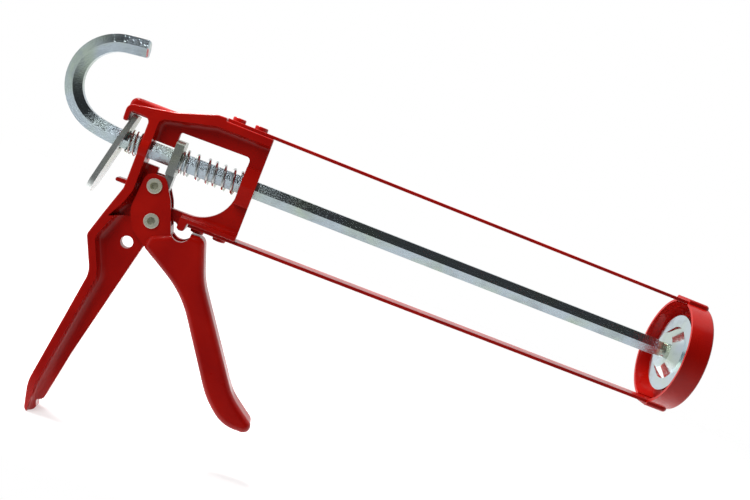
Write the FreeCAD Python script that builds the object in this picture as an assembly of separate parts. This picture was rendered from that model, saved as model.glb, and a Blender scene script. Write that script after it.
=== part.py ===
"""Skeleton caulking gun for 310 ml cartridges: cast frame, strap cradle and ratcheting push rod.

Millimetres. +X runs forward along the push rod, +Z is up, the handle hangs down along -Z.
The origin is on the push rod's axis, at the front face of the frame's front post.
"""
import FreeCAD, Part
import math
import os

V = FreeCAD.Vector

# Cartridge cradle
BAY_LENGTH = 213.8          # front post to the ring's rear rim
RING_LENGTH = 11.8
RING_R = 27.0
RING_WALL = 1.3
RING_EDGE_FILLET = 1.1
NOZZLE_R = 16.5
POCKET_GAP = 0.15
POCKET_CORNER_R = 2.6
POCKET_EDGE_R = 1.5
POCKET_SETBACK = 0.5        # behind the ring's front face
POCKET_ROOT_Z = 20.0        # below which the pocket is part of the ring
STRAP_T = 1.6
STRAP_W = 13.0
STRAP_REAR_X = -22.6
STRAP_FRONT_X = 222.0
STRAP_EDGE_FILLET = 0.35
SEAT_Z = 25.2               # the straps' inner faces, above and below the axis

# Strap rivets
RIVET_XS = (-18.0, -7.2)
STUD_HEAD_R = 3.15
STUD_HEAD_T = 1.8
STUD_HEAD_FILLET = 0.6
STUD_R = 1.6
STUD_HOLE_R = 1.62
STUD_DEPTH = 2.6

# Frame casting
RIM_HALF_W = 9.0
WEB_HALF_T = 2.0
HANDLE_WEB_HALF_T = 3.0
POST_T = 7.0
REAR_POST_FRONT_X = -51.0
REAR_POST_REAR_X = -55.3
ROD_HOLE_R = 4.95
UPPER_CORE_FILLET = 3.0
HANDLE_CORE_FILLET = 4.6
EDGE_FILLET = 0.7
CROWN_HALF_W = 6.5
CROWN_FILLET = 1.8
LUG_HALF_W = 4.0
GUIDE_FILLET = 0.6
HANG_HOLE = (-46.0, -43.7)
HANG_HOLE_R = 2.9
BOSS_R = 9.7
BOSS_INSET = 0.3
PIVOT_BOSS_R = 5.2

# Push rod
ROD_AF = 8.0
ROD_END_X = 209.5
HOOK_START_X = -64.3
HOOK_EASE_R = 60.0
HOOK_EASE_DEG = 14.0
HOOK_R = 20.0
HOOK_DEG = 158.0
HOOK_TAIL = 9.8
HOOK_END_CHAMFER = 0.7
STUD_END_X = 218.9
THREAD_R = 2.0
NUT_AF = 7.0
NUT_REAR_X = 209.6
WASHER_REAR_X = 212.7
WASHER_R = 3.8
DISC_R = 19.4
DISC_HUB_X = 213.6
DISC_RISE = 4.2
DISC_T = 1.2
FRONT_NUT_END_X = 218.0
STUD_CLEARANCE = 0.1

# Trigger
PIVOT = (-38.7, -30.0)
DRIVE = (-42.9, -14.5)
EAR_IN = 5.0
EAR_OUT = 6.5
GRIP_IN = 6.6
GRIP_OUT = 8.2
GRIP_FILLET = 3.0
PIVOT_R = 2.5
DRIVE_R = 2.2
RUNNING_GAP = 0.06
PRESS_GAP = 0.02
NOTCH = (-24.3, -29.9)
NOTCH_R = 4.6
RIVET_HEAD_R = 3.55
RIVET_HEAD_T = 1.0
RIVET_HEAD_FILLET = 0.45
RIVET_HEAD_GAP = 0.05
RIVET_MOUTH_R = 1.95
RIVET_MOUTH_FLOOR_R = 1.5
RIVET_MOUTH_DEPTH = 2.6

# Drive plate and main spring
PLATE_REAR_X = -40.4
PLATE_T = 4.0
PLATE_HALF_W = 8.0
PLATE_TOP_Z = 9.0
PLATE_SHOULDER_Z = -7.4
TONGUE_HALF_W = 4.6
TONGUE_Z = -16.6
PLATE_CORNER_R = 2.5
TONGUE_CORNER_R = 1.5
PLATE_HOLE_AF = 8.7
MAIN_SPRING_R = 5.75        # to the wire's centre
MAIN_WIRE_R = 0.65
MAIN_TURNS = 6.5
SPRING_GAP = 0.05

# Release plate and its spring
RELEASE_PIVOT = (-61.9, 11.6)
RELEASE_TILT = 12.8         # degrees from upright, foot to the rear
RELEASE_T = 2.5
RELEASE_HALF_W = 9.0
RELEASE_HEAD_HALF_W = 5.5
RELEASE_LENGTH = 41.0
RELEASE_TOP = 0.9           # above the pivot
RELEASE_HOLE_AF = 9.7
RELEASE_SHOULDER = 12.0     # below the head, where the plate reaches its full width
RELEASE_SHOULDER_R = 14.0
RELEASE_FOOT_R = 7.6
RELEASE_HEAD_R = 1.5

THROUGH_Y = 20.0            # half the length of cutters that run right through
RELEASE_SPRING_R = 5.6
RELEASE_WIRE_R = 0.4
RELEASE_TURNS = 3.5
RELEASE_SPRING_REAR_X = -61.6


def outline(corners):
    """Closed face in the XZ plane from (x, z, corner radius) points."""
    count = len(corners)
    starts = []
    ends = []
    mids = []
    for i, (x, z, radius) in enumerate(corners):
        here = V(x, 0, z)
        before = V(corners[i - 1][0], 0, corners[i - 1][1])
        after = V(corners[(i + 1) % count][0], 0, corners[(i + 1) % count][1])
        back = (before - here).normalize()
        ahead = (after - here).normalize()
        if radius == 0:
            starts.append(here)
            ends.append(here)
            mids.append(None)
            continue
        half = back.getAngle(ahead) / 2
        reach = radius / math.tan(half)
        bisector = (back + ahead).normalize()
        starts.append(here + back * reach)
        ends.append(here + ahead * reach)
        mids.append(here + bisector * (radius / math.sin(half) - radius))
    edges = []
    for i in range(count):
        if mids[i] is not None:
            edges.append(Part.Arc(starts[i], mids[i], ends[i]).toShape())
        follow = starts[(i + 1) % count]
        if ends[i].distanceToPoint(follow) > 1e-6:
            edges.append(Part.LineSegment(ends[i], follow).toShape())
    return Part.Face(Part.Wire(edges))


def slab(corners, y_low, y_high):
    face = outline(corners)
    face.translate(V(0, y_low, 0))
    return face.extrude(V(0, y_high - y_low, 0))


def box(x, y, z):
    """Box between the (low, high) pairs x, y and z."""
    return Part.makeBox(x[1] - x[0], y[1] - y[0], z[1] - z[0], V(x[0], y[0], z[0]))


def rod_x(radius, x_low, x_high):
    return Part.makeCylinder(radius, x_high - x_low, V(x_low, 0, 0), V(1, 0, 0))


def pin_y(radius, centre, half_length):
    start = V(centre[0], -half_length, centre[1])
    return Part.makeCylinder(radius, 2 * half_length, start, V(0, 1, 0))


def hex_x(across_flats, x_low, x_high):
    """Hexagonal bar along X with two of its corners at +Y and -Y."""
    radius = across_flats / math.sqrt(3)
    corners = [V(x_low, radius * math.cos(a), radius * math.sin(a))
               for a in (math.radians(60 * k) for k in range(7))]
    return Part.Face(Part.makePolygon(corners)).extrude(V(x_high - x_low, 0, 0))


def turned_x(profile):
    """Solid turned about the X axis from (x, radius) corners."""
    corners = [V(x, 0, r) for x, r in profile]
    face = Part.Face(Part.makePolygon(corners + corners[:1]))
    return face.revolve(V(0, 0, 0), V(1, 0, 0), 360)


def soften(shape, radius, wanted):
    """Fillet every edge for which wanted(edge) is true."""
    return shape.makeFillet(radius, [e for e in shape.Edges if wanted(e)])


def at_y(edge, y):
    limits = edge.BoundBox
    return abs(abs(limits.YMin) - y) < 1e-3 and abs(abs(limits.YMax) - y) < 1e-3 \
        and limits.YLength < 1e-3


def coil(radius, wire_r, x_low, x_high, turns):
    """Round-wire compression spring about the X axis, between two planes."""
    length = x_high - x_low - 2 * wire_r
    helix = Part.makeHelix(length / turns, length, radius)
    ring = Part.Wire(Part.makeCircle(wire_r, V(radius, 0, 0), V(0, 1, 0)))
    spring = Part.Wire(helix).makePipeShell([ring], True, True)
    spring.rotate(V(0, 0, 0), V(0, 1, 0), 90)
    spring.translate(V(x_low + wire_r, 0, 0))
    return spring


# Side outline of the casting, from the front post's top corner round by the handle to the nose
FRAME_OUTLINE = [
    (0.0, SEAT_Z, 0.8),
    (0.0, -SEAT_Z, 0.8),
    (-23.0, -SEAT_Z, 0.5),
    (-23.4, -29.3, 1.4),
    (-26.0, -29.3, 1.4),
    (-28.6, -26.9, 2.0),
    (-31.6, -27.6, 3.0),
    (-38.4, -43.2, 2.0),
    (-51.5, -101.0, 40.0),
    (-56.3, -127.0, 2.4),
    (-59.2, -127.4, 0.8),
    (-57.6, -132.7, 1.7),
    (-62.1, -132.7, 2.4),
    (-65.0, -119.5, 20.0),
    (-56.4, -61.8, 12.0),
    (-63.4, -45.8, 3.5),
    (-60.0, -34.5, 10.0),
    (REAR_POST_REAR_X, -20.0, 6.0),
    (REAR_POST_REAR_X, 13.4, 2.4),
    (-64.2, 13.6, 1.2),
    (-64.2, 8.6, 0.8),
    (-66.4, 8.6, 1.0),
    (-66.6, 16.4, 3.5),
    (-45.5, 20.2, 8.0),
    (-27.5, 26.4, 5.0),
    (-23.2, 26.6, 0.8),
    (-22.9, SEAT_Z, 0.4),
]

# Short lug behind the rear post
LUG_OUTLINE = [
    (-53.0, -18.9, 0.0),
    (-60.8, -18.9, 0.9),
    (-60.8, -17.0, 0.9),
    (-53.0, -16.6, 0.0),
]

# Crown of the nose, standing on the beam's rim
CROWN_OUTLINE = [
    (-66.3, 13.0, 0.0),
    (-65.9, 20.3, 3.4),
    (-44.0, 20.5, 0.0),
    (-44.0, 13.0, 0.0),
]

# Recess between the beams, from the rear post out past the front post's edge, both sides
UPPER_RECESS = [
    (REAR_POST_FRONT_X, 15.0, 3.4),
    (-26.0, 21.4, 6.0),
    (4.0, 21.6, 0.0),
    (4.0, -23.3, 0.0),
    (-26.9, -23.3, 0.0),
    (-26.9, -36.0, 0.0),
    (-35.5, -38.5, 0.0),
    (-34.0, -27.1, 0.0),
    (-57.4, -34.4, 0.0),
    (-53.0, -26.0, 6.0),
    (REAR_POST_FRONT_X, -19.5, 6.0),
]

# Recess of the handle in front of its rear rim, both sides
HANDLE_RECESS = [
    (-55.0, -33.6, 0.0),
    (-59.6, -45.6, 5.4),
    (-52.6, -61.8, 12.0),
    (-61.4, -119.5, 20.0),
    (-60.2, -140.0, 0.0),
    (-30.0, -140.0, 0.0),
    (-20.0, -60.0, 0.0),
    (-27.0, -31.0, 0.0),
    (-34.0, -27.1, 0.0),
]

# Open window around the main spring, with the rod's slot back to the rear post
WINDOW = [
    (-40.7, 12.6, 1.0),
    (-POST_T, 13.3, 1.8),
    (-POST_T, -21.7, 17.0),
    (-46.4, -21.7, 3.0),
    (-46.4, -10.4, 1.0),
    (-44.4, -8.8, 0.8),
    (-44.4, -6.2, 0.6),
    (REAR_POST_FRONT_X, -6.2, 0.0),
    (REAR_POST_FRONT_X, 4.8, 0.0),
    (-40.7, 4.8, 0.8),
]

# Rod guide of the front post, as (y, z) of its near half from the top down
GUIDE_PROFILE = [(-7.8, 9.2), (-8.3, 0.2), (-6.2, -9.2)]


def recess(corners, floor, fillet, by_rim):
    """Pocket from y = floor outwards, its floor blending into the rim where by_rim(place) holds."""
    low, high = sorted((floor, math.copysign(RIM_HALF_W + 3, floor)))
    pocket = slab(corners, low, high)
    return soften(pocket, fillet, lambda e: at_y(e, abs(floor)) and by_rim(e.CenterOfMass))


def rod_guide():
    """Prism along X across the front post, its lower half drafted inwards."""
    near = [V(-POST_T, y, z) for y, z in GUIDE_PROFILE]
    far = [V(-POST_T, -y, z) for y, z in reversed(GUIDE_PROFILE)]
    face = Part.Face(Part.makePolygon(near + far + near[:1]))
    prism = face.extrude(V(POST_T, 0, 0))
    return soften(prism, GUIDE_FILLET, lambda e: e.BoundBox.XLength > POST_T - 0.1
                  and abs(e.CenterOfMass.z) > 5)


def frame_casting():
    body = slab(FRAME_OUTLINE, -RIM_HALF_W, RIM_HALF_W)
    body = soften(body, EDGE_FILLET, lambda e: at_y(e, RIM_HALF_W))
    crown = slab(CROWN_OUTLINE, -CROWN_HALF_W, CROWN_HALF_W)
    body = body.fuse(soften(crown, CROWN_FILLET, lambda e: at_y(e, CROWN_HALF_W)
                             and e.CenterOfMass.z > 16.8))
    for side in (-1, 1):
        body = body.cut(recess(UPPER_RECESS, side * WEB_HALF_T, UPPER_CORE_FILLET,
                               lambda place: place.z > -24.5 and place.x < 3))
        body = body.cut(recess(HANDLE_RECESS, side * HANDLE_WEB_HALF_T, HANDLE_CORE_FILLET,
                               lambda place: place.x < -52 and place.z > -135))
    body = body.cut(slab(WINDOW, -THROUGH_Y, THROUGH_Y))
    boss = rod_x(BOSS_R, REAR_POST_REAR_X + BOSS_INSET, REAR_POST_FRONT_X - BOSS_INSET)
    body = body.fuse(boss)
    body = body.fuse(rod_guide())
    lug = slab(LUG_OUTLINE, -LUG_HALF_W, LUG_HALF_W)
    body = body.fuse(soften(lug, EDGE_FILLET, lambda e: at_y(e, LUG_HALF_W)))
    body = body.fuse(pin_y(PIVOT_BOSS_R, PIVOT, EAR_IN - 0.1))
    body = body.cut(rod_x(ROD_HOLE_R, REAR_POST_REAR_X - 5, 5))
    body = body.cut(pin_y(PIVOT_R + PRESS_GAP, PIVOT, THROUGH_Y))
    body = body.cut(pin_y(HANG_HOLE_R, HANG_HOLE, THROUGH_Y))
    for side in (-1, 1):
        for x in RIVET_XS:
            base = V(x, 0, side * (SEAT_Z - STUD_DEPTH))
            body = body.cut(Part.makeCylinder(STUD_HOLE_R, 10, base, V(0, 0, side)))
    return body.removeSplitter()


def strap(side):
    """side is 1 for the top strap and -1 for the bottom one."""
    z = sorted((side * SEAT_Z, side * (SEAT_Z + STRAP_T)))
    body = box((STRAP_REAR_X, STRAP_FRONT_X), (-STRAP_W / 2, STRAP_W / 2), z)
    body = soften(body, STRAP_EDGE_FILLET, lambda e: e.BoundBox.XLength > 100)
    for x in RIVET_XS:
        hole = Part.makeCylinder(STUD_HOLE_R, 2 * SEAT_Z, V(x, 0, 0), V(0, 0, side))
        body = body.cut(hole)
    return body


def strap_rivet(side, x):
    base = V(x, 0, side * (SEAT_Z - STUD_DEPTH))
    shank = Part.makeCylinder(STUD_R, STUD_DEPTH + STRAP_T + 0.4, base, V(0, 0, side))
    seat = V(x, 0, side * (SEAT_Z + STRAP_T))
    head = Part.makeCylinder(STUD_HEAD_R, STUD_HEAD_T, seat, V(0, 0, side))
    crown_z = side * (SEAT_Z + STRAP_T + STUD_HEAD_T)
    head = soften(head, STUD_HEAD_FILLET, lambda e: abs(e.BoundBox.ZMin - crown_z) < 1e-3
                  and e.BoundBox.ZLength < 1e-3)
    return shank.fuse(head).removeSplitter()


def front_ring():
    front_x = BAY_LENGTH + RING_LENGTH
    inner_r = RING_R - RING_WALL
    body = turned_x([(BAY_LENGTH, inner_r), (BAY_LENGTH, RING_R), (front_x, RING_R),
                     (front_x, NOZZLE_R), (front_x - RING_WALL, NOZZLE_R),
                     (front_x - RING_WALL, inner_r)])
    body = soften(body, RING_EDGE_FILLET, lambda e: abs(e.BoundBox.XMin - front_x) < 1e-3
                  and e.BoundBox.ZLength > 2 * RING_R - 0.1)
    pocket_w = STRAP_W / 2 + POCKET_GAP
    pocket_z = SEAT_Z + STRAP_T
    shell_x = (BAY_LENGTH, front_x - POCKET_SETBACK)
    shell_y = (-pocket_w - RING_WALL, pocket_w + RING_WALL)
    for side in (-1, 1):
        z = sorted((side * POCKET_ROOT_Z, side * (pocket_z + RING_WALL)))
        shell = box(shell_x, shell_y, z)
        top = side * (pocket_z + RING_WALL)
        shell = soften(shell, POCKET_CORNER_R, lambda e: e.BoundBox.XMax > front_x - 0.6
                       and e.BoundBox.ZLength > 2)
        shell = soften(shell, POCKET_EDGE_R, lambda e: abs(e.BoundBox.ZMin - top) < 1e-3
                       and e.BoundBox.ZLength < 1e-3 and e.BoundBox.XMax > front_x - 4)
        body = body.fuse(shell.cut(rod_x(inner_r, BAY_LENGTH - 1, front_x + 1)))
    for side in (-1, 1):
        z = sorted((side * (POCKET_ROOT_Z - 2), side * pocket_z))
        pocket = box((BAY_LENGTH - 1, front_x - RING_WALL), (-pocket_w, pocket_w), z)
        body = body.cut(pocket)
    return body.removeSplitter()


def tubular_rivet(centre, shank_r, seat):
    """Hollow rivet along Y whose rolled heads bear at y = +-seat."""
    tip = seat + RIVET_HEAD_T
    body = pin_y(shank_r, centre, tip - 0.2)
    for side in (-1, 1):
        base = V(centre[0], side * seat, centre[1])
        head = Part.makeCylinder(RIVET_HEAD_R, RIVET_HEAD_T, base, V(0, side, 0))
        head = soften(head, RIVET_HEAD_FILLET, lambda e: at_y(e, tip))
        body = body.fuse(head)
    for side in (-1, 1):
        mouth = V(centre[0], side * (tip + 0.01), centre[1])
        body = body.cut(Part.makeCone(RIVET_MOUTH_R, RIVET_MOUTH_FLOOR_R, RIVET_MOUTH_DEPTH, mouth,
                                      V(0, -side, 0)))
    return body.removeSplitter()


EAR_OUTLINE = [
    (-38.0, -42.2, 0.0),
    (-45.6, -36.6, 8.0),
    (-49.6, -28.0, 10.0),
    (-48.2, -9.1, 4.6),
    (-39.4, -8.9, 4.2),
    (-33.6, -18.4, 14.0),
    (-28.0, -33.6, 0.0),
    (-27.4, -41.0, 0.0),
]

GRIP_OUTLINE = [
    (-38.4, -42.2, 3.1),
    (-14.3, -57.1, 50.0),
    (14.1, -100.3, 46.0),
    (25.8, -109.2, 18.0),
    (35.6, -109.0, 4.0),
    (41.6, -106.5, 3.2),
    (25.1, -94.2, 30.0),
    (-6.3, -48.6, 40.0),
    (-13.2, -29.0, 4.4),
    (-20.2, -29.3, 4.0),
    (-37.0, -36.4, 3.1),
]

# What the channel section leaves open: everything behind its front wall
CHANNEL_OUTLINE = [
    (-60.0, -2.0, 0.0),
    (-30.0, -2.0, 0.0),
    (-29.6, -33.0, 2.0),
    (-14.2, -31.6, 3.0),
    (-7.8, -49.4, 15.0),
    (23.9, -95.3, 28.0),
    (35.2, -103.9, 2.0),
    (33.0, -112.0, 0.0),
    (0.0, -120.0, 0.0),
    (-60.0, -60.0, 0.0),
]

# The wider part of the channel, inside the grip
GRIP_CHANNEL_OUTLINE = [
    (-60.0, -46.0, 0.0),
    (-9.3, -46.0, 3.0),
    (-7.8, -49.4, 15.0),
    (23.9, -95.3, 28.0),
    (35.2, -103.9, 2.0),
    (33.0, -112.0, 0.0),
    (0.0, -120.0, 0.0),
]


def trigger_lever():
    grip = slab(GRIP_OUTLINE, -GRIP_OUT, GRIP_OUT)
    grip = soften(grip, GRIP_FILLET, lambda e: at_y(e, GRIP_OUT))
    body = grip.fuse(slab(EAR_OUTLINE, -EAR_OUT, EAR_OUT))
    body = body.cut(slab(CHANNEL_OUTLINE, -EAR_IN, EAR_IN))
    body = body.cut(slab(GRIP_CHANNEL_OUTLINE, -GRIP_IN, GRIP_IN))
    body = body.cut(pin_y(NOTCH_R, NOTCH, THROUGH_Y))
    body = body.cut(pin_y(PIVOT_R + RUNNING_GAP, PIVOT, THROUGH_Y))
    body = body.cut(pin_y(DRIVE_R + PRESS_GAP, DRIVE, THROUGH_Y))
    return body.removeSplitter()


def drive_plate():
    front_x = PLATE_REAR_X + PLATE_T
    head = box((PLATE_REAR_X, front_x), (-PLATE_HALF_W, PLATE_HALF_W),
               (PLATE_SHOULDER_Z, PLATE_TOP_Z))
    head = soften(head, PLATE_CORNER_R, lambda e: e.BoundBox.XLength > 1
                  and abs(e.BoundBox.ZMin - PLATE_TOP_Z) < 1e-3)
    tongue = box((PLATE_REAR_X, front_x), (-TONGUE_HALF_W, TONGUE_HALF_W),
                 (TONGUE_Z, PLATE_SHOULDER_Z + 1))
    tongue = soften(tongue, TONGUE_CORNER_R, lambda e: e.BoundBox.XLength > 1
                    and abs(e.BoundBox.ZMin - TONGUE_Z) < 1e-3)
    body = head.fuse(tongue).cut(hex_x(PLATE_HOLE_AF, PLATE_REAR_X - 1, front_x + 1))
    return body.removeSplitter()


def release_plate():
    """Upright plate about the pivot, then leant back."""
    pivot_x, pivot_z = RELEASE_PIVOT
    high_z = pivot_z + RELEASE_TOP
    low_z = high_z - RELEASE_LENGTH
    shoulder_z = high_z - RELEASE_SHOULDER
    plan = [
        (-RELEASE_HEAD_HALF_W, high_z, RELEASE_HEAD_R),
        (-RELEASE_HALF_W, shoulder_z, RELEASE_SHOULDER_R),
        (-RELEASE_HALF_W, low_z, RELEASE_FOOT_R),
        (RELEASE_HALF_W, low_z, RELEASE_FOOT_R),
        (RELEASE_HALF_W, shoulder_z, RELEASE_SHOULDER_R),
        (RELEASE_HEAD_HALF_W, high_z, RELEASE_HEAD_R),
    ]
    body = slab(plan, -RELEASE_T / 2, RELEASE_T / 2)
    body.rotate(V(0, 0, 0), V(0, 0, 1), 90)
    body.translate(V(pivot_x, 0, 0))
    body.rotate(V(pivot_x, 0, pivot_z), V(0, 1, 0), RELEASE_TILT)
    return body.cut(hex_x(RELEASE_HOLE_AF, pivot_x - 20, pivot_x + 12))


def hook_path():
    """Centre line of the bar: straight, easing up, round the hook and out along its tail."""
    points = [V(ROD_END_X, 0, 0), V(HOOK_START_X, 0, 0)]
    edges = [Part.LineSegment(points[0], points[1]).toShape()]
    place = points[1]
    turned = 0.0
    for radius, sweep in ((HOOK_EASE_R, HOOK_EASE_DEG), (HOOK_R, HOOK_DEG)):
        stops = []
        for part in (0.5, 1.0):
            chord = 2 * radius * math.sin(math.radians(sweep * part / 2))
            heading = math.radians(180 - turned - sweep * part / 2)
            stops.append(place + V(chord * math.cos(heading), 0, chord * math.sin(heading)))
        edges.append(Part.Arc(place, stops[0], stops[1]).toShape())
        place = stops[1]
        turned += sweep
    heading = math.radians(180 - turned)
    tail = place + V(HOOK_TAIL * math.cos(heading), 0, HOOK_TAIL * math.sin(heading))
    edges.append(Part.LineSegment(place, tail).toShape())
    return Part.Wire(edges), tail


def push_rod():
    path, tail = hook_path()
    radius = ROD_AF / math.sqrt(3)
    corners = [V(ROD_END_X, radius * math.cos(a), radius * math.sin(a))
               for a in (math.radians(60 * k) for k in range(7))]
    bar = path.makePipeShell([Part.makePolygon(corners)], True, False)
    end_faces = [f for f in bar.Faces if f.CenterOfMass.distanceToPoint(tail) < 0.5]
    bar = bar.makeChamfer(HOOK_END_CHAMFER, end_faces[0].Edges)
    return bar.fuse(rod_x(THREAD_R, ROD_END_X - 1, STUD_END_X)).removeSplitter()


# Rear face of the disc from the hub out, as (distance forward of the hub face, radius)
DISC_PROFILE = [
    (0.0, THREAD_R + STUD_CLEARANCE),
    (0.0, 4.8),
    (0.3, 9.0),
    (DISC_RISE, 13.4),
    (DISC_RISE, DISC_R),
]


def pusher_disc():
    back = [(DISC_HUB_X + x, r) for x, r in DISC_PROFILE]
    front = [(x + DISC_T, r) for x, r in reversed(back)]
    return turned_x(back + front)


def hex_nut(x_low, x_high, across_flats):
    body = hex_x(across_flats, x_low, x_high)
    corner_r = across_flats / math.sqrt(3)
    lift = corner_r - across_flats / 2
    dome = turned_x([(x_low, 0), (x_low, corner_r - lift), (x_low + lift / 2, corner_r + 0.01),
                     (x_high - lift / 2, corner_r + 0.01), (x_high, corner_r - lift), (x_high, 0)])
    return body.common(dome).cut(rod_x(THREAD_R + PRESS_GAP, x_low - 1, x_high + 1))


def lock_washer():
    washer = rod_x(WASHER_R, WASHER_REAR_X, DISC_HUB_X)
    return washer.cut(rod_x(THREAD_R + STUD_CLEARANCE, WASHER_REAR_X - 1, DISC_HUB_X + 1))


def main():
    os.makedirs("parts", exist_ok=True)
    parts = {
        "frame_casting": frame_casting(),
        "top_strap": strap(1),
        "bottom_strap": strap(-1),
        "front_ring": front_ring(),
        "top_rear_strap_rivet": strap_rivet(1, RIVET_XS[0]),
        "top_front_strap_rivet": strap_rivet(1, RIVET_XS[1]),
        "bottom_rear_strap_rivet": strap_rivet(-1, RIVET_XS[0]),
        "bottom_front_strap_rivet": strap_rivet(-1, RIVET_XS[1]),
        "pivot_rivet": tubular_rivet(PIVOT, PIVOT_R, EAR_OUT + RIVET_HEAD_GAP),
        "trigger_lever": trigger_lever(),
        "drive_rivet": tubular_rivet(DRIVE, DRIVE_R, EAR_OUT),
        "drive_plate": drive_plate(),
        "main_spring": coil(MAIN_SPRING_R, MAIN_WIRE_R, PLATE_REAR_X + PLATE_T + SPRING_GAP,
                            -POST_T - SPRING_GAP, MAIN_TURNS),
        "release_plate": release_plate(),
        "release_spring": coil(RELEASE_SPRING_R, RELEASE_WIRE_R, RELEASE_SPRING_REAR_X,
                               REAR_POST_REAR_X - SPRING_GAP, RELEASE_TURNS),
        "push_rod": push_rod(),
        "pusher_disc": pusher_disc(),
        "disc_lock_washer": lock_washer(),
        "disc_rear_nut": hex_nut(NUT_REAR_X, WASHER_REAR_X, NUT_AF),
        "disc_front_nut": hex_nut(DISC_HUB_X + DISC_T, FRONT_NUT_END_X, NUT_AF),
    }
    for name, shape in parts.items():
        solids = shape.Solids
        print(name, "valid" if shape.isValid() else "INVALID", len(solids),
              round(shape.Volume, 1))
        solids[0].exportStep(f"parts/{name}.step")


main()
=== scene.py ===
"""Looks of a hand caulking gun: camera, studio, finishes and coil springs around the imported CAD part."""

import math

import bmesh
import bpy
from mathutils import Matrix, Vector


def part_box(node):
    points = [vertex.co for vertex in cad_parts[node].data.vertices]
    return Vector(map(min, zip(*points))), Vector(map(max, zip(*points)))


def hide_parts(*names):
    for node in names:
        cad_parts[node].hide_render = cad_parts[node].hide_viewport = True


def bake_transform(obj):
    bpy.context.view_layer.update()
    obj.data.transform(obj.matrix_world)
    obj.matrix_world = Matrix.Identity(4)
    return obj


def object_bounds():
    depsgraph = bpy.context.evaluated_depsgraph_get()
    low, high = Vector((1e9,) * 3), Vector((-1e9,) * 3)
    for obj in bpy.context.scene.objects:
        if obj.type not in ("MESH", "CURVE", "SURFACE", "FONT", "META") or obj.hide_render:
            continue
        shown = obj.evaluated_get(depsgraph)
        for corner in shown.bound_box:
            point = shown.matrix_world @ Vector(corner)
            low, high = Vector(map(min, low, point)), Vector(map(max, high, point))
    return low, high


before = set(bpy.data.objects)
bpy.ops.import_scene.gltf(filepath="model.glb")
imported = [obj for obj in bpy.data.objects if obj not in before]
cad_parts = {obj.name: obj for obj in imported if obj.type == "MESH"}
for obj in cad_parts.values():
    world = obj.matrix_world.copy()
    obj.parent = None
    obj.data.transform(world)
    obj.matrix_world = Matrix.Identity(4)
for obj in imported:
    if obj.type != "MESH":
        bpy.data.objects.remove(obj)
cad_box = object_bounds()

MM = 0.001
scene = bpy.context.scene
scene.view_settings.view_transform = "Standard"

# ---------------------------------------------------------------- camera
# Lengths in metres and angles in degrees; lens and sensor in millimetres
CAMERA_PLACE = (0.0053, -0.4705, 0.0278)
CAMERA_YAW = -6.99
CAMERA_PITCH = -4.04
CAMERA_ROLL = -21.75
LENS = 48.0
SENSOR = 36.0
CLIP_START = 0.01
CLIP_END = 50.0

turn = Matrix.Rotation(math.radians(CAMERA_YAW), 3, "Z")
turn = turn @ Matrix.Rotation(math.radians(CAMERA_PITCH), 3, "X")
turn = turn @ Matrix.Rotation(math.radians(CAMERA_ROLL), 3, "Y")
right, forward, up = (turn.col[i].copy() for i in range(3))
# The columns are the camera's right, its up and the way back towards it
studio = Matrix((right, up, -forward)).transposed()

camera_data = bpy.data.cameras.new("camera")
camera_data.lens = LENS
camera_data.sensor_width = SENSOR
camera_data.clip_start = CLIP_START
camera_data.clip_end = CLIP_END
camera = bpy.data.objects.new("camera", camera_data)
camera.matrix_world = Matrix.Translation(CAMERA_PLACE) @ studio.to_4x4()
scene.collection.objects.link(camera)
scene.camera = camera


# ---------------------------------------------------------------- node helpers
BEVEL_SAMPLES = 6

# Cosines between a face and its rounded normal where an edge begins to count and where it counts fully
EDGE_COSINES = (0.97, 0.75)


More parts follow.
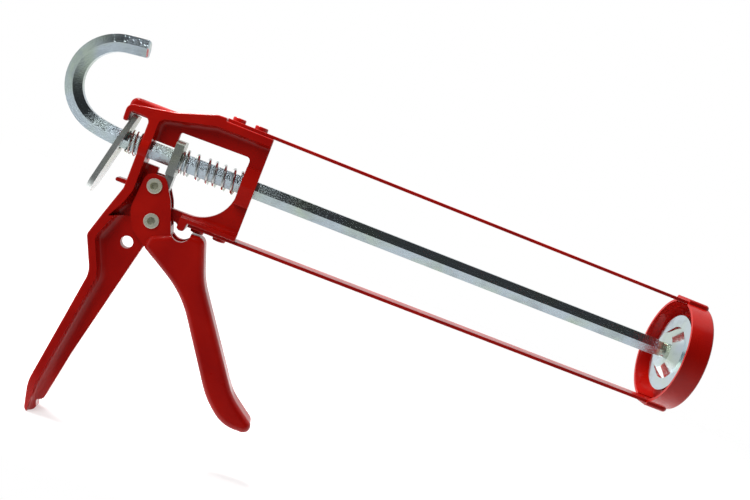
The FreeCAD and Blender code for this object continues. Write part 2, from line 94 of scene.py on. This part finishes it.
class Nodes:
    """Short calls for building one node tree."""

    def __init__(self, tree):
        self.tree = tree
        tree.nodes.clear()

    def add(self, kind, **values):
        node = self.tree.nodes.new(kind)
        for name, value in values.items():
            setattr(node, name, value)
        return node

    def link(self, source, target):
        self.tree.links.new(source, target)

    def feed(self, socket, value):
        """Links value when it is a socket, else sets it."""
        if isinstance(value, bpy.types.NodeSocket):
            self.link(value, socket)
        else:
            socket.default_value = value

    def math(self, operation, *values):
        node = self.add("ShaderNodeMath", operation=operation)
        for socket, value in zip(node.inputs, values):
            self.feed(socket, value)
        return node.outputs[0]

    def vector(self, operation, *values):
        node = self.add("ShaderNodeVectorMath", operation=operation)
        for socket, value in zip(node.inputs, values):
            self.feed(socket, value)
        return node.outputs["Value" if operation in ("DOT_PRODUCT", "LENGTH") else "Vector"]

    def noise(self, vector, scale, detail=2.0, roughness=0.5):
        node = self.add("ShaderNodeTexNoise")
        self.feed(node.inputs["Vector"], vector)
        node.inputs["Scale"].default_value = scale
        node.inputs["Detail"].default_value = detail
        node.inputs["Roughness"].default_value = roughness
        return node.outputs["Fac"]

    def remap(self, value, low, high, to_low=0.0, to_high=1.0):
        """Takes low..high to to_low..to_high and holds the ends."""
        node = self.add("ShaderNodeMapRange")
        self.feed(node.inputs[0], value)
        for socket, number in zip(node.inputs[1:5], (low, high, to_low, to_high)):
            socket.default_value = number
        return node.outputs[0]

    def ramp(self, value, stops):
        """Grey through stops of (place, level), with places from 0 to 1."""
        node = self.add("ShaderNodeValToRGB")
        self.feed(node.inputs[0], value)
        elements = node.color_ramp.elements
        elements.remove(elements[1])
        elements[0].position = stops[0][0]
        elements[0].color = (*[stops[0][1]] * 3, 1.0)
        for place, level in stops[1:]:
            elements.new(place).color = (*[level] * 3, 1.0)
        return node.outputs[0]

    def mix(self, factor, first, second, blend="MIX"):
        node = self.add("ShaderNodeMix", data_type="RGBA", blend_type=blend)
        self.feed(node.inputs[0], factor)
        self.feed(node.inputs[6], first)
        self.feed(node.inputs[7], second)
        return node.outputs[2]

    def bump(self, height, distance, normal=None):
        node = self.add("ShaderNodeBump")
        node.inputs["Strength"].default_value = 1.0
        node.inputs["Distance"].default_value = distance
        self.feed(node.inputs["Height"], height)
        if normal is not None:
            self.link(normal, node.inputs["Normal"])
        return node.outputs[0]

    def edges(self, radius):
        """1 on the sharp outer edges, 0 on flats."""
        bevel = self.add("ShaderNodeBevel", samples=BEVEL_SAMPLES)
        bevel.inputs["Radius"].default_value = radius
        geometry = self.add("ShaderNodeNewGeometry")
        level = self.vector("DOT_PRODUCT", bevel.outputs[0], geometry.outputs["Normal"])
        return self.remap(level, *EDGE_COSINES)


def linear(red, green, blue):
    """Linear colour from 0-255 display values, by the sRGB curve."""
    out = []
    for value in (red, green, blue):
        v = value / 255
        out.append(v / 12.92 if v <= 0.04045 else ((v + 0.055) / 1.055) ** 2.4)
    return (*out, 1.0)


def new_material(name):
    """A principled material with its node helper, its shader and object coordinates."""
    material = bpy.data.materials.new(name)
    material.use_nodes = True
    nodes = Nodes(material.node_tree)
    shader = nodes.add("ShaderNodeBsdfPrincipled")
    output = nodes.add("ShaderNodeOutputMaterial")
    nodes.link(shader.outputs[0], output.inputs[0])
    coords = nodes.add("ShaderNodeTexCoord").outputs["Object"]
    return material, nodes, shader, coords


# ---------------------------------------------------------------- finishes
RED = linear(186, 20, 9)
RED_DEEP = linear(166, 12, 7)
# Lighter red for the sharp edges: partly rubbed wear, partly a painted edge highlight
RED_EDGE_WEAR_AND_HIGHLIGHT = linear(198, 46, 34)


# Noise settings are scale per metre, detail and, where given, roughness; ranges are noise levels
PAINT_SHADE_NOISE = (45.0, 3.0)
PAINT_SHADE_RANGE = (0.35, 0.65)
PAINT_EDGE_WEAR_AND_HIGHLIGHT_NOISE = (420.0, 3.0)
PAINT_EDGE_WEAR_AND_HIGHLIGHT_RANGE = (0.42, 0.62)
PAINT_EDGE_WEAR_AND_HIGHLIGHT_SHARE = 0.55
PAINT_RUB_ROUGHNESS = 0.15
PAINT_GLOSS_NOISE = (130.0, 4.0)
PAINT_GLOSS_RANGE = (0.3, 0.7)
PAINT_ROUGHNESS = (0.27, 0.42)
PAINT_COAT = 0.4
PAINT_COAT_ROUGHNESS = 0.07
PAINT_SPECULAR = 0.14
PAINT_EDGE = 0.5 * MM
PAINT_PEEL_NOISE = (900.0, 2.0)
PAINT_LUMP_NOISE = (190.0, 3.0, 0.55)

# Cells per metre, a grain's radius as a share of a cell, and its height in metres
SPECK_SCALE = 260.0
SPECK_RADIUS = 0.16
SPECK_HEIGHT = 0.00006


def paint(name, peel, unevenness, specks):
    """Gloss enamel; peel and unevenness in metres of height, specks the share of cells with a grain."""
    material, nodes, shader, coords = new_material(name)
    broad = nodes.noise(coords, *PAINT_SHADE_NOISE)
    colour = nodes.mix(nodes.remap(broad, *PAINT_SHADE_RANGE), RED_DEEP, RED)
    # Patchy lighter paint along the sharp edges: rubbed wear and a painted edge highlight
    patch = nodes.remap(nodes.noise(coords, *PAINT_EDGE_WEAR_AND_HIGHLIGHT_NOISE), *PAINT_EDGE_WEAR_AND_HIGHLIGHT_RANGE)
    edge_wear_and_highlight = nodes.math("MULTIPLY", nodes.edges(PAINT_EDGE), patch)
    edge_wear_and_highlight = nodes.math("MULTIPLY", edge_wear_and_highlight, PAINT_EDGE_WEAR_AND_HIGHLIGHT_SHARE)
    nodes.link(nodes.mix(edge_wear_and_highlight, colour, RED_EDGE_WEAR_AND_HIGHLIGHT), shader.inputs["Base Color"])
    gloss = nodes.noise(coords, *PAINT_GLOSS_NOISE)
    rough = nodes.remap(gloss, *PAINT_GLOSS_RANGE, *PAINT_ROUGHNESS)
    rough = nodes.math("ADD", rough, nodes.math("MULTIPLY", edge_wear_and_highlight, PAINT_RUB_ROUGHNESS))
    nodes.link(rough, shader.inputs["Roughness"])
    shader.inputs["Coat Weight"].default_value = PAINT_COAT
    shader.inputs["Coat Roughness"].default_value = PAINT_COAT_ROUGHNESS
    shader.inputs["Specular IOR Level"].default_value = PAINT_SPECULAR
    cell = nodes.add("ShaderNodeTexVoronoi")
    cell.inputs["Scale"].default_value = SPECK_SCALE
    nodes.feed(cell.inputs["Vector"], coords)
    grain = nodes.remap(cell.outputs["Distance"], 0.0, SPECK_RADIUS, 1.0, 0.0)
    chosen = nodes.add("ShaderNodeSeparateColor")
    nodes.link(cell.outputs["Color"], chosen.inputs[0])
    rare = nodes.math("GREATER_THAN", chosen.outputs[0], 1.0 - specks)
    grain = nodes.math("MULTIPLY", grain, rare)
    normal = nodes.bump(nodes.noise(coords, *PAINT_LUMP_NOISE), unevenness)
    normal = nodes.bump(nodes.noise(coords, *PAINT_PEEL_NOISE), peel, normal=normal)
    normal = nodes.bump(grain, SPECK_HEIGHT, normal=normal)
    nodes.link(normal, shader.inputs["Normal"])
    nodes.link(normal, shader.inputs["Coat Normal"])
    return material


def bar_coords(nodes, coords, start_x, centre, radius):
    """Coordinates that run along the bar: straight, then round the hook's centre."""
    split = nodes.add("ShaderNodeSeparateXYZ")
    nodes.link(coords, split.inputs[0])
    x, y, z = split.outputs
    dx = nodes.math("SUBTRACT", x, centre[0])
    dz = nodes.math("SUBTRACT", z, centre[1])
    angle = nodes.math("ARCTAN2", dx, dz)
    along = nodes.math("MULTIPLY", angle, radius)
    span = nodes.add("ShaderNodeCombineXYZ")
    nodes.link(dx, span.inputs[0])
    nodes.link(dz, span.inputs[1])
    out = nodes.vector("LENGTH", span.outputs[0])
    bent = nodes.add("ShaderNodeCombineXYZ")
    for socket, value in zip(bent.inputs, (along, y, out)):
        nodes.link(value, socket)
    before = nodes.math("LESS_THAN", x, start_x)
    return nodes.mix(before, coords, bent.outputs[0])


def ring_coords(nodes, coords):
    """Distance from the X axis and place along it, so the grain runs in rings."""
    split = nodes.add("ShaderNodeSeparateXYZ")
    nodes.link(coords, split.inputs[0])
    flat = nodes.add("ShaderNodeCombineXYZ")
    nodes.link(split.outputs[1], flat.inputs[0])
    nodes.link(split.outputs[2], flat.inputs[1])
    ring = nodes.add("ShaderNodeCombineXYZ")
    nodes.link(nodes.vector("LENGTH", flat.outputs[0]), ring.inputs[0])
    nodes.link(split.outputs[0], ring.inputs[1])
    return ring.outputs[0]


ZINC_CLOUD_NOISE = (110.0, 4.0, 0.6)
ZINC_CLOUD_RANGE = (0.5, 0.8)
ZINC_TINT_NOISE = (60.0, 2.0)
ZINC_TINT_RANGE = (0.45, 0.7)
ZINC_LINE_NOISE = (700.0, 3.0, 0.6)
ZINC_MOTTLE_NOISE = (1400.0, 3.0, 0.65)
ZINC_WARMTH = (0.99, 1.0, 0.9)
ZINC_DULLNESS = 0.88
# Pale colour on the sharp edges of the zinc: a painted edge highlight
ZINC_EDGE_HIGHLIGHT_RADIUS = 0.4 * MM
ZINC_EDGE_HIGHLIGHT_SHARE = 0.5
ZINC_EDGE_HIGHLIGHT_COLOUR = linear(232, 236, 238)
ZINC_GLOSS_RANGE = (0.35, 0.65)
EVEN = (1.0, 1.0, 1.0)


def zinc(name, tone, drawn=EVEN, hook=None, rings=False, rough=(0.1, 0.2), streak=0.00001,
         speckle=0.000006, metal=1.0):
    """Zinc plate; streak and speckle are heights in metres.

    drawn scales the grain's coordinates, so a small value draws it out along that axis. hook bends the
    grain with the bar, and rings runs it round the X axis.
    """
    material, nodes, shader, coords = new_material(name)
    grain_coords = coords
    if hook is not None:
        grain_coords = bar_coords(nodes, coords, *hook)
    if rings:
        grain_coords = ring_coords(nodes, coords)
    stretch = nodes.add("ShaderNodeMapping")
    nodes.feed(stretch.inputs["Vector"], grain_coords)
    stretch.inputs["Scale"].default_value = drawn
    cloud = nodes.noise(coords, *ZINC_CLOUD_NOISE)
    tint = nodes.noise(coords, *ZINC_TINT_NOISE)
    lines = nodes.noise(stretch.outputs[0], *ZINC_LINE_NOISE)
    mottle = nodes.noise(coords, *ZINC_MOTTLE_NOISE)
    warm = linear(*(min(255, c * k) for c, k in zip(tone, ZINC_WARMTH)))
    dull = linear(*(c * ZINC_DULLNESS for c in tone))
    colour = nodes.mix(nodes.remap(tint, *ZINC_TINT_RANGE), linear(*tone), warm)
    colour = nodes.mix(nodes.remap(cloud, *ZINC_CLOUD_RANGE), colour, dull)
    # Painted edge highlight: every sharp edge is mixed towards a pale colour
    edge_highlight = nodes.math("MULTIPLY", nodes.edges(ZINC_EDGE_HIGHLIGHT_RADIUS), ZINC_EDGE_HIGHLIGHT_SHARE)
    nodes.link(nodes.mix(edge_highlight, colour, ZINC_EDGE_HIGHLIGHT_COLOUR), shader.inputs["Base Color"])
    shader.inputs["Metallic"].default_value = metal
    # The streaks and the clouds count half each in the roughness
    level = nodes.math("ADD", nodes.math("MULTIPLY", lines, 0.5), nodes.math("MULTIPLY", cloud, 0.5))
    nodes.link(nodes.remap(level, *ZINC_GLOSS_RANGE, *rough), shader.inputs["Roughness"])
    normal = nodes.bump(lines, streak)
    normal = nodes.bump(mottle, speckle, normal=normal)
    nodes.link(normal, shader.inputs["Normal"])
    return material


# The bar is straight in front of HOOK_START_X and runs round HOOK_CENTRE (x, z) behind it
HOOK_START_X = -0.0643
HOOK_CENTRE = (-0.0791, 0.0217)
HOOK_RADIUS = 0.020
DRAWN_ALONG_BAR = (0.06, 1.0, 1.0)

finishes = {
    "red_cast_paint": paint("red_cast_paint", peel=0.000012, unevenness=0.00006, specks=0.06),
    "red_steel_paint": paint("red_steel_paint", peel=0.000010, unevenness=0.00002, specks=0.02),
    "zinc_plate": zinc("zinc_plate", (202, 208, 206), rough=(0.2, 0.32), metal=0.7),
    "rod_zinc": zinc("rod_zinc", (194, 209, 219), drawn=DRAWN_ALONG_BAR,
                     hook=(HOOK_START_X, HOOK_CENTRE, HOOK_RADIUS), streak=0.00005, speckle=0.00011),
    "disc_zinc": zinc("disc_zinc", (212, 226, 234), rings=True),
    "spring_zinc": zinc("spring_zinc", (218, 224, 224), rough=(0.16, 0.28)),
    "rivet_zinc": zinc("rivet_zinc", (236, 236, 222), rough=(0.24, 0.38), metal=0.55),
    "fastener_zinc": zinc("fastener_zinc", (222, 228, 216), rough=(0.2, 0.3), metal=0.8),
}


def dress(node_name, finish):
    """Gives every material slot of a CAD node one finish."""
    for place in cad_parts[node_name].material_slots:
        place.material = finishes[finish]


FINISH_OF = {
    "frame_casting": "red_cast_paint",
    "trigger_lever": "red_cast_paint",
    "top_strap": "red_steel_paint",
    "bottom_strap": "red_steel_paint",
    "front_ring": "red_steel_paint",
    "top_rear_strap_rivet": "red_steel_paint",
    "top_front_strap_rivet": "red_steel_paint",
    "bottom_rear_strap_rivet": "red_steel_paint",
    "bottom_front_strap_rivet": "red_steel_paint",
    "pivot_rivet": "rivet_zinc",
    "drive_rivet": "rivet_zinc",
    "drive_plate": "zinc_plate",
    "release_plate": "zinc_plate",
    "push_rod": "rod_zinc",
    "pusher_disc": "disc_zinc",
    "disc_rear_nut": "fastener_zinc",
    "disc_lock_washer": "fastener_zinc",
    "disc_front_nut": "fastener_zinc",
    "main_spring": "spring_zinc",
    "release_spring": "spring_zinc",
}
for node_name, finish in FINISH_OF.items():
    dress(node_name, finish)


# ---------------------------------------------------------------- coil springs
RING_POINTS = 12
STEPS_PER_TURN = 40

# Parts of a turn's length that come from its own pitch and from that of each neighbour
OWN_SHARE = 0.75
NEIGHBOUR_SHARE = 0.125


def coil(name, x_low, radius, wire_r, pitches, phase):
    """Round wire about the X axis; pitches gives each turn's advance, phase the start angle from the top."""
    mesh = bpy.data.meshes.new(name)
    made = bmesh.new()
    rings = []
    x = x_low
    total = len(pitches) * STEPS_PER_TURN
    for step in range(total + 1):
        angle = phase + 2 * math.pi * step / STEPS_PER_TURN
        index = min(step // STEPS_PER_TURN, len(pitches) - 1)
        here = Vector((x, -radius * math.sin(angle), radius * math.cos(angle)))
        out = Vector((0.0, -math.sin(angle), math.cos(angle)))
        along = Vector((pitches[index] / (2 * math.pi * radius), -math.cos(angle), -math.sin(angle)))
        side = along.normalized().cross(out)
        ring = []
        for k in range(RING_POINTS):
            a = 2 * math.pi * k / RING_POINTS
            ring.append(made.verts.new(here + wire_r * (out * math.cos(a) + side * math.sin(a))))
        rings.append(ring)
        # The pitch changes evenly from the middle of one turn to the middle of the next
        before = pitches[max(index - 1, 0)]
        after = pitches[min(index + 1, len(pitches) - 1)]
        share = step / STEPS_PER_TURN - index
        pitch = pitches[index]
        if share < 0.5:
            pitch = before + (pitch - before) * (0.5 + share)
        else:
            pitch = pitch + (after - pitch) * (share - 0.5)
        x += pitch / STEPS_PER_TURN
    for one, two in zip(rings, rings[1:]):
        for k in range(RING_POINTS):
            made.faces.new((one[k], two[k], two[(k + 1) % RING_POINTS], one[(k + 1) % RING_POINTS]))
    made.faces.new(rings[0])
    made.faces.new(list(reversed(rings[-1])))
    bmesh.ops.recalc_face_normals(made, faces=made.faces)
    for face in made.faces:
        face.smooth = len(face.verts) == 4
    made.to_mesh(mesh)
    made.free()
    piece = bpy.data.objects.new(name, mesh)
    scene.collection.objects.link(piece)
    mesh.materials.append(finishes["spring_zinc"])
    return piece


def sum_of_advance(pitches):
    """The length that coil() gives these pitches."""
    total = 0.0
    for i, pitch in enumerate(pitches):
        before = pitches[max(i - 1, 0)]
        after = pitches[min(i + 1, len(pitches) - 1)]
        total += pitch * OWN_SHARE + (before + after) * NEIGHBOUR_SHARE
    return total


def fitted_coil(name, node, wire_r, pitches, phase):
    """A coil that fills the CAD spring's box."""
    low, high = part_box(node)
    radius = (high.z - low.z) / 2 - wire_r
    span = high.x - low.x - 2 * wire_r
    scale = span / sum_of_advance(pitches)
    return coil(name, low.x + wire_r, radius, wire_r, [p * scale for p in pitches], phase)


# Radii of the wires in metres, start angles in radians; only the ratios of the pitches matter
MAIN_WIRE = 0.65 * MM
MAIN_PITCHES = (1.35, 5.4, 5.7, 2.8, 4.4, 4.7, 3.4)
MAIN_START = 0.6
RELEASE_WIRE = 0.4 * MM
RELEASE_PITCHES = (1.0, 2.2, 1.9)
RELEASE_START = 2.4

main_coil = fitted_coil("main_coil", "main_spring", MAIN_WIRE, MAIN_PITCHES, MAIN_START)
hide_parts("main_spring")
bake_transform(main_coil)

release_coil = fitted_coil("release_coil", "release_spring", RELEASE_WIRE, RELEASE_PITCHES, RELEASE_START)
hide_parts("release_spring")
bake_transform(release_coil)


# ---------------------------------------------------------------- floor, lights, surroundings
FLOOR_HALF = 2.5
FLOOR_GREY = 0.93
FLOOR_ROUGHNESS = 0.9
FLOOR_SPECULAR = 0.1
FLOOR_GLOW = 0.25

# Metres from the origin where the floor fades out, and along Y where its near side does
FLOOR_FADE = (0.35, 1.2)
NEAR_FADE = (-0.07, 0.02)
WHITE = (1.0, 1.0, 1.0, 1.0)


def floor():
    """A pale floor at the object's lowest point, fading out far away and on the camera's side."""
    mesh = bpy.data.meshes.new("floor")
    height = cad_box[0].z
    corners = [(-FLOOR_HALF, -FLOOR_HALF), (FLOOR_HALF, -FLOOR_HALF), (FLOOR_HALF, FLOOR_HALF),
               (-FLOOR_HALF, FLOOR_HALF)]
    mesh.from_pydata([(x, y, height) for x, y in corners], [], [(0, 1, 2, 3)])
    piece = bpy.data.objects.new("floor", mesh)
    scene.collection.objects.link(piece)
    material, nodes, shader, coords = new_material("floor_white")
    shader.inputs["Base Color"].default_value = (FLOOR_GREY, FLOOR_GREY, FLOOR_GREY, 1.0)
    shader.inputs["Roughness"].default_value = FLOOR_ROUGHNESS
    shader.inputs["Specular IOR Level"].default_value = FLOOR_SPECULAR
    shader.inputs["Emission Color"].default_value = WHITE
    shader.inputs["Emission Strength"].default_value = FLOOR_GLOW
    distance = nodes.vector("LENGTH", coords)
    shown = nodes.remap(distance, *FLOOR_FADE, 1.0, 0.0)
    split = nodes.add("ShaderNodeSeparateXYZ")
    nodes.link(coords, split.inputs[0])
    near = nodes.remap(split.outputs[1], *NEAR_FADE)
    nodes.link(nodes.math("MULTIPLY", shown, near), shader.inputs["Alpha"])
    mesh.materials.append(material)


# Grey level by the cosine between a direction and the way back to the camera
OPENING = ((-1.0, 0.8), (0.0, 0.8), (0.58, 0.72), (0.7, 0.44), (0.82, 0.16), (0.94, 0.1))

# Grey level by the angle round the view line, in degrees from the camera's right towards its up
SHADE = ((-150, 0.85), (-132, 0.75), (-96, 1.0), (-78, 1.0), (-40, 0.8), (-22, 0.4), (-8, 0.1),
         (28, 0.05), (64, 0.09), (82, 0.04), (102, 0.05), (116, 0.55), (132, 0.85))

# Cosines between which the shade sets in; behind the object there is none
SHADE_FROM = (0.12, 0.3)


def surroundings():
    """A pale tent, dark round the camera and on its side from the right to the top.

    Camera rays see plain white instead.
    """
    world = bpy.data.worlds.new("studio")
    scene.world = world
    world.use_nodes = True
    nodes = Nodes(world.node_tree)
    direction = nodes.add("ShaderNodeTexCoord").outputs["Generated"]
    mapping = nodes.add("ShaderNodeMapping")
    nodes.link(direction, mapping.inputs["Vector"])
    mapping.inputs["Rotation"].default_value = studio.transposed().to_euler()
    split = nodes.add("ShaderNodeSeparateXYZ")
    nodes.link(mapping.outputs[0], split.inputs[0])
    across, upward, toward = split.outputs
    opening = nodes.ramp(nodes.remap(toward, -1.0, 1.0), [
        ((cosine + 1.0) / 2.0, level) for cosine, level in OPENING
    ])
    around = nodes.remap(nodes.math("ARCTAN2", upward, across), -math.pi, math.pi)
    shade = nodes.ramp(around, [((angle + 180.0) / 360.0, level) for angle, level in SHADE])
    shade = nodes.mix(nodes.remap(toward, *SHADE_FROM), WHITE, shade)
    level = nodes.mix(1.0, opening, shade, "MULTIPLY")
    path = nodes.add("ShaderNodeLightPath")
    level = nodes.mix(path.outputs["Is Camera Ray"], level, WHITE)
    background = nodes.add("ShaderNodeBackground")
    nodes.link(level, background.inputs[0])
    output = nodes.add("ShaderNodeOutputWorld")
    nodes.link(background.outputs[0], output.inputs[0])


def softbox(name, place, aim, size, power, seen=True):
    """An area light of power watts at place, facing aim; seen tells whether reflections show it."""
    light = bpy.data.lights.new(name, "AREA")
    light.shape = "RECTANGLE"
    light.size = size[0]
    light.size_y = size[1]
    light.energy = power
    holder = bpy.data.objects.new(name, light)
    scene.collection.objects.link(holder)
    holder.location = place
    holder.rotation_mode = "QUATERNION"
    holder.rotation_quaternion = (place - aim).to_track_quat("Z", "Y")
    holder.visible_glossy = seen


def studio_place(around, off_axis, distance):
    """The point that lies distance metres from the object's centre.

    It is around degrees from the camera's right and off_axis degrees from the way back to the camera.
    """
    off = math.radians(off_axis)
    turn_by = math.radians(around)
    away = Vector((math.sin(off) * math.cos(turn_by), math.sin(off) * math.sin(turn_by), math.cos(off)))
    return centre + studio @ away * distance


# The hook's foot lies in front of the rod's rearmost point and above its axis, the window away from it
FOOT_AHEAD = 0.008
FOOT_HEIGHT = 0.004
WINDOW_AWAY = Vector((-0.018, -0.28, 0.415))

floor()
surroundings()
centre = (cad_box[0] + cad_box[1]) / 2
rod_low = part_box("push_rod")[0]
hook_foot = Vector((rod_low.x + FOOT_AHEAD, 0.0, FOOT_HEIGHT))
overhead_place = studio_place(around=96.0, off_axis=92.0, distance=1.0)
key_place = studio_place(around=112.0, off_axis=45.0, distance=0.6)
softbox("window", hook_foot + WINDOW_AWAY, hook_foot, size=(0.042, 0.16), power=0.075)
softbox("overhead", overhead_place, centre, size=(0.5, 0.14), power=14.0)
softbox("key", key_place, centre, size=(0.35, 0.35), power=1.5, seen=False)
